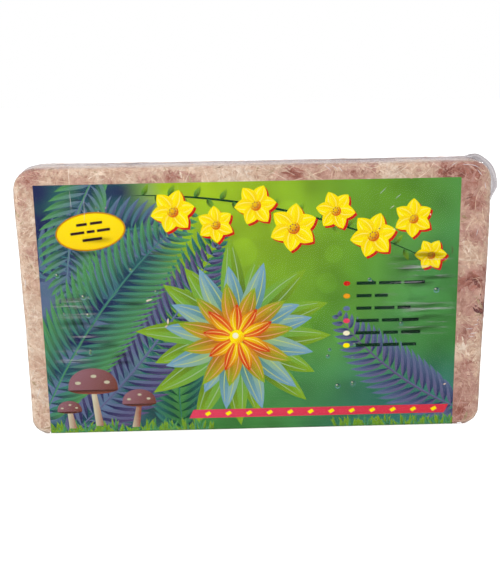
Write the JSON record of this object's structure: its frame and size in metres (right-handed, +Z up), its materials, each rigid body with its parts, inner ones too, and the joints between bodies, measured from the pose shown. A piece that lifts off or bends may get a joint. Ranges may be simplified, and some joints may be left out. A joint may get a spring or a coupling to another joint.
{
  "type": "pressed sphagnum moss brick in clear film",
  "caption": "Flat round-cornered brick of dry pressed sphagnum moss with a printed card on its front, shrink-wrapped in clear film and standing on its long narrow side.",
  "frame": {"origin": "middle of the flat underside, on which the pack stands", "axes": "+X along the pack to the right as its front is read, +Y from the front to the back, +Z up; the printed card faces -Y"},
  "size_m": [0.205, 0.022, 0.1192],
  "materials": {
    "moss": "dry matte fibre",
    "card": "printed, satin",
    "film": "clear gloss"
  },
  "bodies": {
    "root": {"moss_brick": "moss", "label_card": "card", "film_wrap": "film"}
  },
  "joints": []
}
